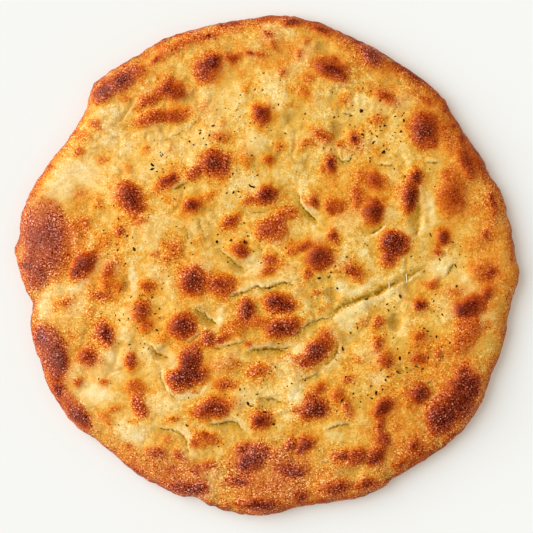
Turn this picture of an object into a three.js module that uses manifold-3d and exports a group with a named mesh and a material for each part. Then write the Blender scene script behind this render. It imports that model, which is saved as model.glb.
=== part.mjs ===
// A round focaccia, about 30 cm across: one flat hearth bread with a rounded rim, blisters where the dough
// ballooned in the oven, finger hollows and torn creases between them, and dried herb flakes baked on.
// Millimetres, +Z up, the origin in the middle of the flat base.
import * as THREE from "three";
import { mergeGeometries, mergeVertices } from "three/addons/utils/BufferGeometryUtils.js";
import Module from "manifold-3d";

const { clamp, degToRad, lerp } = THREE.MathUtils;

const doughHeight = 15.5; // flat top between the blisters
const waveHeight = 0.9; // slow waves of hand-stretched dough
const waveLength = { x: 21, y: 17 }; // millimetres for each radian of a wave
const shoulderWidth = 13; // the top starts to fall this far in from the rim
const shoulderRun = 18; // length along the shoulder, from the flat top to the widest line
const widestHeight = 6; // the rim reaches out furthest at this height
const baseTuck = 3.5; // the base edge lies this far in under the widest line
const tuckRun = 8; // length along the side, from the widest line to the base edge
const domeFullness = 1.2; // 1 gives a blister steep edges, more gives it a soft foot
const gridSteps = 60; // quads along each side of the crust's grid
const rimSteps = 16; // pieces between two rim points
const creaseSteps = 16; // pieces along a torn crease
const creaseLift = 0.8; // share of its depth by which a crease runs out at both ends
const flakeLength = { least: 0.9, most: 1.9 }; // half the length of a herb flake
const flakeWidth = 0.55; // share of the length
const flakeThickness = 1;
const flakeTaper = 0.8; // lower face over upper face
const flakeSides = 5;
const flakeSink = 0.15; // the middle of a flake lies this far under the crust
const aboveBread = 100; // a height well clear of the crust

// The rim seen from above, anticlockwise from the +X side: the lobes and notches of a hand-shaped round.
const rimPoints = [
  [150.6, -1], [148, 14], [144.5, 30], [140.5, 44.5], [133, 55], [128, 65], [120, 75.5], [110, 92],
  [107, 98], [98, 108], [85, 118], [67, 129], [57, 133.5], [35, 143.8], [15, 150], [-10, 148.2],
  [-45, 141], [-63, 135.5], [-75, 127.5], [-97, 113.5], [-103, 109], [-106, 102], [-108, 93.5], [-120, 75],
  [-132, 60], [-144, 40], [-148, 27], [-148.5, 19], [-151.2, 11.5], [-149.5, 0], [-144.5, -16], [-141, -22],
  [-141.6, -33], [-141, -44], [-135, -60], [-130.5, -74], [-117, -93.5], [-111, -99], [-105, -102],
  [-88.5, -115], [-77, -125], [-62, -133], [-53, -138], [-43, -139], [-32, -144.5], [-5, -149.7],
  [20, -144.2], [50, -140.1], [69, -133], [73, -128.8], [90, -118.9], [110, -105], [120, -94.7],
  [127, -85], [131, -75], [135, -63], [140.7, -50], [146, -24], [151.3, -6],
];

// An oval spot of the crust, from its middle, half length, half width, turn in degrees and rise or depth.
const spot = ([x, y, long, wide, turn, height]) => ({ x, y, long, wide, turn: degToRad(turn), height });

const blisters = [
  [-92, 109, 17, 7, 33, 3], [-34, 120, 8, 6, 60, 2.5], [-58, 106, 10, 5.5, 0, 3], [-70, 88, 9, 6, 0, 3],
  [-56, 89, 11, 5.5, 10, 3], [-3, 92, 6, 6, 0, 2.6], [-131, 22, 18, 12, 90, 3], [-110, 1, 9, 6.5, 55, 3],
  [-82, 41, 11, 7.5, 125, 3], [-32, 61, 10, 7.5, 10, 3], [-58, 51, 8, 5.5, 40, 2.2],
  [-44, 37, 7, 5, 25, 2.3], [-21, 27, 7, 4.5, 40, 2], [1, 43, 6.5, 6.5, 0, 2.6], [-16, 9, 6, 5.5, 0, 2.4],
  [-56, 9, 10, 7, 90, 1.6], [38, 118, 10.5, 6, -20, 3], [62, 127, 9, 5, -30, 2.4],
  [72, 102, 7, 4.5, -35, 2.2], [95, 82, 11, 9, 90, 3], [33, 78, 7, 4.5, -35, 1.8], [38, 60, 6, 5, 90, 2.4],
  [62, 53, 8, 5, -30, 2], [64, 33, 8, 6, 90, 3], [41, 36, 6, 5, 0, 2], [4, 22, 9, 7, 0, 2.2],
  [32, 5, 8, 7, 0, 3], [76, 12, 9, 8.5, 0, 3], [53, -4, 6.5, 4.5, -30, 2.4], [122, 62, 10, 5.5, 110, 2.6],
  [112, 43, 13, 8, 90, 2.2], [106, 16, 5.5, 5, 0, 2.4], [86, 42, 11, 6, 85, 2.6], [134, -3, 6, 5, 90, 2],
  [-72, -11, 5.5, 4.5, 0, 2.2], [-75, -28, 7, 6, 0, 2.6], [-99, -40, 7.5, 6, 110, 3],
  [-125, -57, 10, 6.5, 100, 2.8], [-134, -41, 7, 6, 90, 2.4], [-109, -55, 8, 7, 0, 2],
  [-79, -73, 6, 5, 0, 2.2], [-75, -85, 7, 5, 130, 2.2], [-113, -91, 9, 5.5, -45, 2.8],
  [-45, -9, 9.5, 9, 90, 3.2], [-27, -11, 9, 7, 0, 2.4], [-51, -37, 8.5, 8, 0, 3.4],
  [-46, -57, 7.5, 7, 0, 3], [-52, -69, 9, 6.5, 0, 3], [-41, -66, 6, 5.5, 0, 2.6], [-13, -27, 6.5, 6, 90, 2.6],
  [-31, -84, 11.5, 6, 12, 3], [-4, -93, 6.5, 6.5, 0, 3], [-37, -104, 9, 5.5, 0, 2], [-9, -116, 13, 8, 20, 3],
  [-57, -104, 9, 7, -20, 2.4], [-50, -133, 13, 5, 0, 2.4], [-4, -143, 14, 5, 0, 2.6],
  [8, -22, 9, 6.5, 0, 3], [9, -37, 10.5, 6.5, 15, 3.2], [29, -51, 13, 6.5, 38, 3.4],
  [29, -86, 9.5, 7, 10, 3], [24, -107, 7, 5, 40, 2.4], [15, -123, 9.5, 5, 0, 2.2],
  [70, -86, 7, 5, 38, 2.6], [65, -115, 7, 5, 50, 2.2], [92, -77, 6.5, 6, 0, 3], [92, -23, 5, 5, 0, 2.6],
  [124, -23, 11, 7, 25, 3.2], [118, -41, 10, 8, 90, 2], [112, -82, 20, 10, 55, 3], [43, -133, 11, 5, 10, 2.2],
].map(spot);

// Pressed by finger tips, or left between blisters.
const hollows = [
  [43, 81, 6.5, 5.5, 90, 3], [76, -35, 6.5, 5, 90, 4], [-46, 102, 7, 5, 0, 2], [-15, 0, 8, 7, 0, 2.5],
  [40, -17, 6, 6, 0, 2.5], [5, -51, 13, 5, 0, 2.5], [-35, -30, 9, 6.5, -30, 2.2], [3, -84, 8, 6, 0, 2.2],
  [-83, -9, 7, 5.5, 90, 2.2], [-22, -97, 9, 6, 0, 2], [35, 131, 7, 5, 0, 1.8], [90, 30, 14, 5.5, 90, 2],
  [-63, -53, 7, 5, 0, 1.8], [14, 88, 8, 6, 0, 1.5], [50, -123, 9, 5, 0, 1.8], [-93, -58, 10, 6, 90, 1.6],
].map(spot);

// Torn creases in the crust: the way each runs, its full width and its depth.
const creases = [
  { way: [[15, -43], [24, -36], [40, -28], [52, -21], [70, -13], [84, -7], [94, -2]], wide: 4, deep: 3.6 },
  { way: [[-46, -26], [-39, -28], [-30, -36]], wide: 2.6, deep: 2.4 },
  { way: [[17, 44], [21, 37], [30, 27]], wide: 2.6, deep: 2.4 },
  { way: [[-13, -16], [-6, -12], [4, -13], [17, -10]], wide: 2.6, deep: 2.2 },
  { way: [[-35, -95], [-22, -93.5], [-11, -101]], wide: 2.6, deep: 2.2 },
  { way: [[-66, -98], [-52, -101], [-45, -115]], wide: 2.6, deep: 2.2 },
];

// Herb flakes as they were strewn, pinch by pinch: middle x and y, spread, number of flakes.
const pinches = [
  [-5.7, 54.7, 0, 1], [-79.7, 10.3, 0, 1], [-28, 76.5, 0, 1], [-62.5, 67, 0, 1], [-13.5, 14.5, 0, 1],
  [98.5, 19, 0, 1], [60, -19.5, 0, 1], [72.3, -23, 0, 1], [54.5, -37, 0, 1], [37.3, -6.5, 0, 1],
  [31.5, -7, 0, 1], [80, -18, 0, 1], [102, -42.5, 0, 1], [110, -46, 0, 1], [-69, -18.7, 0, 1],
  [-2, -68.5, 0, 1], [-48, -95.7, 0, 1], [-89, -95.5, 0, 1], [45, -80.5, 0, 1], [114, -12, 0, 1],
  [85, -61, 10, 5], [66, -71, 9, 4], [-65, 62, 9, 4], [-18, 48, 10, 4], [-20, 16, 10, 4], [60, 80, 14, 5],
  [66, 68, 8, 3], [50, 92, 8, 3], [79, 86, 7, 2], [-88, 18, 12, 3], [-74, -38, 14, 4], [-30, 78, 14, 3],
  [44, -53, 5, 2], [102, -30, 12, 2], [112, 6, 10, 2], [-16, -78, 14, 3], [4, -92, 8, 2], [40, -12, 12, 2],
];

// Minimal standard generator, so that each build strews the flakes alike.
const drawFactor = 16807;
const drawRange = 2147483647;
let drawState = 20;
function draw() {
  drawState = (drawState * drawFactor) % drawRange;
  return drawState / drawRange;
}

// The rim as short pieces of a smooth curve, in order of bearing.
const rimCurve = new THREE.CatmullRomCurve3(rimPoints.map(([x, y]) => new THREE.Vector3(x, y, 0)), true);
const rimSamples = rimCurve.getPoints(rimPoints.length * rimSteps).slice(1);
const bearingOf = (point) => Math.atan2(point.y, point.x);
rimSamples.sort((one, other) => bearingOf(one) - bearingOf(other));

// Distance from the middle to the rim along a bearing.
function rimReach(bearing) {
  const next = Math.max(rimSamples.findIndex((sample) => bearingOf(sample) >= bearing), 0);
  const before = rimSamples.at(next - 1);
  const after = rimSamples[next];
  const outward = new THREE.Vector3(Math.cos(bearing), Math.sin(bearing), 0);
  const across = new THREE.Vector3(-outward.y, outward.x, 0);
  const share = before.dot(across) / (before.dot(across) - after.dot(across));
  return before.clone().lerp(after, share).dot(outward);
}

// Height of a spot's dome over a place: all of it in the middle, none at its edge and beyond.
function domeHeight(x, y, { x: middleX, y: middleY, long, wide, turn, height }) {
  const along = Math.cos(turn) * (x - middleX) + Math.sin(turn) * (y - middleY);
  const aside = Math.cos(turn) * (y - middleY) - Math.sin(turn) * (x - middleX);
  return height * Math.max(0, 1 - (along / long) ** 2 - (aside / wide) ** 2) ** domeFullness;
}

// Height of the crust's top: waved dough, the highest blister there and every hollow.
function topHeight(x, y) {
  const wave = waveHeight * Math.sin(x / waveLength.x) * Math.cos(y / waveLength.y);
  const rise = Math.max(...blisters.map((blister) => domeHeight(x, y, blister)));
  const drop = hollows.reduce((sum, hollow) => sum + domeHeight(x, y, hollow), 0);
  return doughHeight + wave + rise - drop;
}

// A point of the crust: ring is 0 in the middle and 1 at the base edge, past the shoulder and the tuck.
function crustPoint(bearing, ring) {
  const topRun = rimReach(bearing) - shoulderWidth;
  const run = ring * (topRun + shoulderRun + tuckRun);
  const shoulderTurn = clamp((run - topRun) / shoulderRun, 0, 1) * Math.PI / 2;
  const tuckTurn = clamp((run - topRun - shoulderRun) / tuckRun, 0, 1) * Math.PI / 2;
  const shoulderReach = Math.min(run, topRun) + shoulderWidth * Math.sin(shoulderTurn);
  const reach = shoulderReach - baseTuck * (1 - Math.cos(tuckTurn));
  const x = reach * Math.cos(bearing);
  const y = reach * Math.sin(bearing);
  const shoulderHeight = widestHeight + (topHeight(x, y) - widestHeight) * Math.cos(shoulderTurn);
  return new THREE.Vector3(x, y, tuckTurn > 0 ? widestHeight * (1 - Math.sin(tuckTurn)) : shoulderHeight);
}

// Bearing and ring of a place on a square sheet two units wide, whose squares become rings of the round.
function sheetPlace(across, up) {
  const sideways = Math.abs(across) >= Math.abs(up);
  const ring = Math.max(Math.abs(across), Math.abs(up));
  const share = ring === 0 ? 0 : (sideways ? up / across : across / up);
  const eighth = share * Math.PI / 4;
  const turn = sideways ? eighth : Math.PI / 2 - eighth;
  const bearing = (sideways ? across : up) < 0 ? turn + Math.PI : turn;
  return { bearing: Math.atan2(Math.sin(bearing), Math.cos(bearing)), ring };
}

// Numbers of the points along a sheet's edge, once round.
function sheetEdge() {
  const row = gridSteps + 1;
  const steps = Array.from({ length: gridSteps }, (_, step) => step);
  return [
    ...steps,
    ...steps.map((step) => step * row + gridSteps),
    ...steps.map((step) => gridSteps * row + gridSteps - step),
    ...steps.map((step) => (gridSteps - step) * row),
  ];
}

// Top and side are one sheet; the flat base fills the ring of the sheet's edge.
function crustGeometry() {
  const sheet = new THREE.PlaneGeometry(2, 2, gridSteps, gridSteps);
  const places = sheet.attributes.position;
  for (let index = 0; index < places.count; index++) {
    const { bearing, ring } = sheetPlace(places.getX(index), places.getY(index));
    places.setXYZ(index, ...crustPoint(bearing, ring).toArray());
  }
  const edge = sheetEdge().map((index) => new THREE.Vector2(places.getX(index), places.getY(index)));
  const base = new THREE.ShapeGeometry(new THREE.Shape(edge));
  base.setIndex(Array.from(base.index.array).reverse());
  return mergeGeometries([sheet, base]);
}

// A diamond-shaped bar along a crease, half sunk in the crust and running out of it at both ends.
function creaseGeometry({ way, wide, deep }) {
  const points = way.map(([x, y]) => new THREE.Vector3(x, y, topHeight(x, y)));
  points[0].z += creaseLift * deep;
  points.at(-1).z += creaseLift * deep;
  const section = new THREE.Shape();
  section.moveTo(deep, 0);
  section.lineTo(0, wide / 2);
  section.lineTo(-deep, 0);
  section.lineTo(0, -wide / 2);
  const extrudePath = new THREE.CatmullRomCurve3(points);
  return new THREE.ExtrudeGeometry(section, { steps: creaseSteps, extrudePath });
}

// One herb flake: a thin chip lying on the crust at a place, turned at random.
function flakeGeometry(crust, x, y) {
  const ray = new THREE.Raycaster(new THREE.Vector3(x, y, aboveBread), new THREE.Vector3(0, 0, -1));
  const { point, face } = ray.intersectObject(crust)[0];
  const length = lerp(flakeLength.least, flakeLength.most, draw());
  const flake = new THREE.CylinderGeometry(1, flakeTaper, flakeThickness, flakeSides);
  flake.rotateX(Math.PI / 2);
  flake.scale(length, length * flakeWidth, 1);
  flake.rotateZ(draw() * Math.PI);
  flake.applyQuaternion(new THREE.Quaternion().setFromUnitVectors(new THREE.Vector3(0, 0, 1), face.normal));
  const middle = point.clone().addScaledVector(face.normal, -flakeSink);
  return flake.translate(middle.x, middle.y, middle.z);
}

const wasm = await Module();
wasm.setup();

function toSolid(geometry) {
  geometry.deleteAttribute("normal");
  geometry.deleteAttribute("uv");
  const merged = mergeVertices(geometry);
  const vertProperties = new Float32Array(merged.attributes.position.array);
  const triVerts = new Uint32Array(merged.index.array);
  return new wasm.Manifold(new wasm.Mesh({ numProp: 3, vertProperties, triVerts }));
}

function toGeometry(solid) {
  const { vertProperties, triVerts } = solid.getMesh();
  const geometry = new THREE.BufferGeometry();
  geometry.setAttribute("position", new THREE.BufferAttribute(new Float32Array(vertProperties), 3));
  geometry.setIndex(new THREE.BufferAttribute(new Uint32Array(triVerts), 1));
  geometry.computeVertexNormals();
  return geometry;
}

// The bread: the crust less its torn creases, with the flakes fused on, moved to the middle of its base.
function breadGeometry() {
  let solid = toSolid(crustGeometry());
  for (const crease of creases) solid = solid.subtract(toSolid(creaseGeometry(crease)));
  const crust = new THREE.Mesh(toGeometry(solid));
  for (const [middleX, middleY, spread, flakes] of pinches) {
    for (let flake = 0; flake < flakes; flake++) {
      const bearing = draw() * 2 * Math.PI;
      const away = spread * Math.sqrt(draw());
      const x = middleX + away * Math.cos(bearing);
      const y = middleY + away * Math.sin(bearing);
      solid = solid.add(toSolid(flakeGeometry(crust, x, y)));
    }
  }
  const bread = toGeometry(solid);
  bread.computeBoundingBox();
  const middle = bread.boundingBox.getCenter(new THREE.Vector3());
  return bread.translate(-middle.x, -middle.y, 0);
}

const crustFinish = new THREE.MeshStandardMaterial({ color: "#d99a3f", roughness: 0.55, metalness: 0 });
const focaccia = new THREE.Mesh(breadGeometry(), crustFinish);
focaccia.name = "focaccia";

const part = new THREE.Group();
part.add(focaccia);
export default part;
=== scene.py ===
import math

import bmesh
import bpy
import numpy as np
from mathutils import Matrix, Vector, noise
from mathutils.bvhtree import BVHTree


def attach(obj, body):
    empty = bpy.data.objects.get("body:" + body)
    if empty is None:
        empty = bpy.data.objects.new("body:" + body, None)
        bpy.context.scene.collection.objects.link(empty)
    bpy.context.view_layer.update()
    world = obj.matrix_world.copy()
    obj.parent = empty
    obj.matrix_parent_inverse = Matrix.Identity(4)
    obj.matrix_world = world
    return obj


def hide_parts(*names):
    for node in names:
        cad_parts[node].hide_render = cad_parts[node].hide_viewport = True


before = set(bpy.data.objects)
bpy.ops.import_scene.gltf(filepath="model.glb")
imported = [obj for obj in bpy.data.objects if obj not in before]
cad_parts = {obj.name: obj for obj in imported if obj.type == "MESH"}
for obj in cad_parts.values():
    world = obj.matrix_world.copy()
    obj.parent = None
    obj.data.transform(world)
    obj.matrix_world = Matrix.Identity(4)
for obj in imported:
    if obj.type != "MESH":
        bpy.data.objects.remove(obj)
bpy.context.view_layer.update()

# The bread: one round of oiled dough, stretched by hand, pressed with finger tips and baked on a hearth.
# One sheet of crust runs over the top, round the rim and in under it, and a flat base closes it. Blisters,
# hollows and torn creases are raised or sunk in that sheet, and the browning is painted along with them.

MILLIMETRE = 0.001  # the bread's sizes and places are in millimetres
FULL_TURN = 2 * math.pi
SHEET_STEPS = 304  # quads along each side of the crust's sheet
RIM_SECTORS = 240  # bearings at which the solid's rim is measured
RIM_SCALLOPS = 1.1  # how far the baked rim's small bulges stand out of the notches between them
# Places where the rim swelled or shrank a little in the oven: bearing in degrees, how far.
RIM_SWELLS = [
    (20, 0), (32, 1.4), (58, 0), (66, 1.2), (82, 0), (104, 1.1), (118, 0), (126, 1.2), (140, 0.3),
    (160, -0.4), (216, -0.9), (232, 0), (254, -1.2), (275, 0), (286, -1), (300, 0),
]
DOUGH_HEIGHT = 15.5
DOME_FALL = 2  # the risen top is this much lower at the rim
WAVE_HEIGHT = 0.9
WAVE_LENGTH = (21, 17)
SHOULDER_WIDTH = 13
SHOULDER_RUN = 18
WIDEST_HEIGHT = 6
BASE_TUCK = 3.5
TUCK_RUN = 8
BASE_RINGS = (0.97, 0.75, 0.4)
SEEN_SPREAD = 1.0127  # places are read at the rim's level, and the top looks this much larger from above

# Ovals on the crust, as the photograph shows them from above, here and in the lists below: middle x and y,
# half length, half width, turn in degrees, strength. These are the browned spots and how brown they are.
UPPER_LEFT_SPOTS = [
    (-92, 109, 17, 7, 33, .8), (-86, 113, 7, 4.5, 30, .95), (-98, 105, 6, 4.5, 40, .95),
    (-103.5, 85.5, 4.5, 3.2, -20, .76), (-85, 101.5, 3, 2.5, 0, .6), (-112, 78, 6, 5, 40, .56),
    (-113, 68.5, 4, 3, 30, .76), (-98.5, 65, 4, 2.8, 0, .56), (-113, 44.5, 3, 2.5, 0, .5),
    (-84, 58, 3, 3, 0, .56), (-66, 124.5, 5, 2.2, 30, .92), (-77, 117, 4.5, 3.5, 30, .7),
    (-35, 139, 14, 3, 12, .6), (-53, 134, 15, 4, 22, .66), (-35, 139, 4, 1.5, 10, 1),
    (-131.5, 59.5, 2.8, 2.5, 40, .76), (-142, 43, 4, 2.5, 60, .66), (-36, 119.5, 9, 8.5, 20, .84),
    (-32.5, 123, 6, 5, 40, 1), (-37, 115, 5, 4, 60, .74), (-20.5, 125.5, 5.5, 3, 20, .85),
    (-10.5, 128.8, 3.5, 1.6, -15, .9), (-4, 127.5, 4, 2, 0, .7), (-58, 105.5, 10, 5, 0, .9),
    (-58, 110, 4, 3.5, 90, .84), (-71, 100, 8, 3.6, 30, .78), (-79, 97, 4, 2.5, 45, .5),
    (-69.5, 88.5, 11, 5.5, 18, .82), (-56.5, 90.5, 11, 4.8, 12, .84), (-79, 86, 5, 3, 20, .3),
    (-3, 91.5, 6, 5.5, 90, 1), (-2, 82, 3, 3, 0, .4), (-27.5, 77, 5, 4, 0, .66), (-26, 86, 3, 2.5, 0, .5),
    (-37, 98, 3, 3, 0, .5), (-12, 107, 3, 3, 0, .55), (-15, 116, 3, 3, 0, .38), (-132, 15, 25, 15, 95, .79),
    (-130, 19, 13, 5, 100, .84), (-124, 20, 6, 2.2, 70, .78), (-137, 17, 6, 4, 90, .84),
    (-142, 14, 20, 6, 92, .74), (-139, -4, 10, 8, 70, .8), (-116, 22, 10, 6, 90, .55),
    (-144, 1, 4, 3, 0, .98), (-110, 1, 9.5, 6.5, 55, 1), (-116, -4, 4, 4, 0, .85),
    (-82, 41, 11, 7.5, 125, 1), (-76, 27.5, 4, 3, 0, .7), (-88, 20.5, 3.5, 3, 0, .82),
    (-109, 25.5, 3.5, 3.5, 0, .64), (-101, 38, 5, 4, 90, .5), (-98, 15, 5, 4, 0, .5),
    (-94, -3, 6.5, 4, 80, .74), (-89, -12, 4, 4, 0, .6), (-72, 70, 2.8, 2.5, 0, .64),
    (-31, 61, 9.5, 7.8, 10, 1), (-43, 56, 6.5, 3.5, 25, .84), (-60, 51, 9, 4.5, 42, .86),
    (-56, 53, 4, 3.5, 40, .82), (-44, 36.5, 6.5, 4.2, 25, .98), (-35, 42, 5, 2.5, 40, .55),
    (-21, 27, 7, 3.2, 40, .85), (-31, 18.5, 4, 2.5, 40, .4), (-38.5, 17.5, 3, 2.5, 90, .48),
    (-.5, 42.5, 7.5, 6, 10, 1), (-10, 39, 5, 3.8, 10, .74), (1.5, 63.5, 4.5, 4, 0, .76),
    (-12, 64, 6, 5, 60, .52), (-16, 9.5, 5.8, 5, 0, .92), (2, 4, 4.5, 3.5, 0, .82), (0, -2, 5, 3, 20, .78),
    (9, 2, 4, 3, 0, .5), (-56, 9.5, 9, 7, 80, .58), (-67.5, 7, 4, 3, 0, .48), (-57, 71, 3, 3, 0, .5),
    (-29, 52, 3, 3, 0, .5),
]
UPPER_RIGHT_SPOTS = [
    (16, 148, 6, 3, 0, 1), (33, 142.5, 8, 2.5, -15, .9), (63, 127.5, 9, 5, -35, .95),
    (48, 133, 4, 3, -25, .55), (4, 134, 4, 2.4, 100, .64), (1, 140.5, 4, 2, -20, .8),
    (107, 93, 4, 2.5, -50, .7), (112, 86, 4, 2.5, -55, .8), (117, 77, 4, 2.5, -60, .8),
    (107, 83.5, 3, 2.5, 0, .6), (136, 39, 10, 2.8, 100, .78), (127, 36, 4, 4, 0, .3),
    (147, 5, 4, 1.5, 90, .7), (23, 135.5, 3, 2.5, 0, .58), (21, 128, 3, 2.5, 0, .62),
    (9, 117, 3, 3, 0, .58), (13, 97, 3, 3, 0, .38), (53, 106, 3, 2.5, 0, .4), (24, 74, 7, 3, 10, .64),
    (7.5, 71, 4, 3, 60, .62), (45, 72, 3, 2.5, 0, .6), (38.5, 118, 10.5, 6, -20, 1),
    (41, 124.5, 2.2, 2, 0, .8), (25.5, 112.5, 4.5, 3, 0, .62), (22, 104.5, 6, 4, -35, .58),
    (14, 107, 4, 2.5, -30, .45), (46, 99.5, 4, 4, 0, .5), (72, 102, 7, 4, -35, .78),
    (66.5, 88, 5, 4, 0, .6), (58, 81.5, 2.5, 2, 0, .5), (53, 76.5, 4.5, 3.2, 90, 1),
    (33, 78, 7, 4, -35, .75), (97, 100, 7, 3, -30, .62), (95.5, 81.5, 11, 9, 90, 1), (85, 84, 5, 4, 90, .5),
    (38.5, 61, 5.5, 3.5, 90, 1), (33.5, 58, 3.5, 3, 0, .62), (64, 53, 7, 4, -30, .75),
    (56, 54, 4, 4, 0, .5), (54, 42, 8, 4, 90, .62), (64.5, 33, 8, 6, 90, 1), (55, 42, 7, 5, 90, .5),
    (28, 38.5, 4.5, 4, 90, .82), (41.5, 36.5, 6, 5, 0, .74), (39, 34, 3, 3, 0, .76),
    (40, 18.5, 4.5, 3.5, 90, .86), (3, 22, 10, 8, 0, .84), (14, 32, 6, 4, 0, .66), (9, 28, 6, 5, 40, .76),
    (32, 5, 8, 7.5, 0, 1), (22, 12, 7, 3.5, 10, .82), (15, 9, 4, 3, 0, .64), (25.5, -5, 4.5, 3.6, 80, .76),
    (76.5, 13, 9, 8.5, 0, 1), (77, 15, 6, 5, 30, 1), (73, 5, 5, 5, 0, .86), (53, -3.5, 6.5, 3.8, -30, .8),
    (121, 61, 10, 4.5, 108, .86), (119, 70, 13, 8, 112, .66), (128, 62, 8, 4, 118, .72),
    (107, 80, 14, 7, 110, .55), (111.5, 44, 14, 9, 85, .68), (114, 40, 5, 4.5, 60, .62),
    (107, 54, 4, 4, 0, .6), (106, 17, 5, 4.5, 90, 1), (103.5, 12.5, 3, 2.5, 0, .6),
    (103.5, 8, 3, 2.5, 0, .8), (85.5, 41, 10, 5, 85, 1), (90, 53.5, 5, 4.5, 90, 1),
    (132.5, 19.5, 4, 3, 30, .68), (135, -4, 5, 3, 90, .88), (129, -3, 6.5, 6, 0, .54),
]
LOWER_LEFT_SPOTS = [
    (-72, -11.5, 5, 4, 0, .8), (-75, -27.5, 7, 6, 80, .88), (-72.5, -36, 5, 4, 90, .74),
    (-95, -11, 5, 4.5, 0, .6), (-99, -17.5, 7, 3.5, -5, .76), (-122, -22, 8, 4.5, 25, .56),
    (-107, -27, 6, 3, 90, .5), (-120, -41, 5, 4, 0, .42), (-98, -40, 8, 6, 110, .92),
    (-95.5, -41, 5.5, 3.5, 110, 1), (-137, -43, 8, 5, 100, .92), (-128, -67, 8, 5, 105, .76),
    (-125, -56, 10, 5.5, 100, 1), (-130, -52, 17, 9, 105, .84), (-108, -54, 6, 5, 0, .85),
    (-103, -56, 6, 4, 0, .5), (-113, -70, 3.5, 3.5, 0, .74), (-98, -69, 4.5, 2.5, 0, .7),
    (-82, -57, 5.5, 4.5, 90, .92), (-82, -63, 3, 3, 0, .5), (-79, -73, 6, 5, 0, .76),
    (-75.5, -85, 7, 4.5, 125, .85), (-77, -79, 4, 4, 0, .7), (-126, -75, 6, 4.8, 100, .95),
    (-113, -91, 9, 4.8, -50, 1), (-118, -84, 14, 5.5, -50, .8), (-91, -86, 6, 3, 20, .64),
    (-97, -92, 7, 4, -40, .58), (-45, -9, 9.5, 8.5, 90, 1), (-27.5, -11, 9, 7, 0, .86),
    (-35, -9, 6, 7, 0, .58), (-18, -10, 4, 2.5, 0, .5), (-51, -36.5, 8.3, 8, 0, 1),
    (-61, -43, 6, 4.5, -60, .5), (-36, -43.5, 5, 5, 0, .86), (-27, -44, 6, 3, 10, .8),
    (-43, -47.5, 5.5, 2.8, 35, .66), (-45, -56, 8, 7.5, 90, 1), (-52, -68.5, 9, 6.5, 0, 1),
    (-42, -65.5, 8, 5.5, 20, .88), (-47, -63, 7, 6, 0, .96), (-13, -26, 7, 5.5, 80, 1),
    (-17, -36, 9, 6, 20, .62), (-5, -34, 8, 5, 0, .68), (-11, -47.5, 3.6, 1.9, 15, .72),
    (-6, -62, 8, 5, 10, .72), (-19, -57, 5, 2.5, -30, .58), (-27, -60, 9, 6, 0, .5),
    (-25, -71.5, 7, 4, 0, .76), (-32, -85, 11.5, 5.6, 12, 1), (-57, -92.5, 4.2, 2.5, 0, .62),
    (-37, -104, 9.5, 5.2, -10, .68), (-36, -101.5, 5, 2.5, -20, .82), (-43, -107, 3.5, 3, 0, .76),
    (-31, -105, 3, 2.5, 0, .5), (-4, -93, 6.2, 6, 0, 1), (-8, -115.5, 10.5, 7, 30, 1),
    (-14, -120, 5, 3.5, 0, .95), (-15, -110, 6, 4, 20, .8), (-67, -112, 7, 4.5, 0, .76),
    (-52, -113.5, 4.5, 2.6, -40, .76), (-60, -104, 5, 3.5, 0, .6), (-57, -122, 5, 4, 0, .66),
    (-36, -120, 6.5, 3, 0, .74), (-43, -123, 4, 2.5, 0, .7), (-16, -128.5, 7.5, 3.4, 5, .92),
    (-50, -133.5, 13, 4.3, -2, .9), (-41, -133, 4.5, 4, 0, .95), (-4, -144, 14.5, 5, 0, .97),
    (-55, -124, 22, 9, -15, .52), (0, -132, 24, 11, 0, .5), (-85, -112, 20, 6, -42, .5),
    (-82, -109, 3, 2.5, 0, .58),
]
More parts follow.
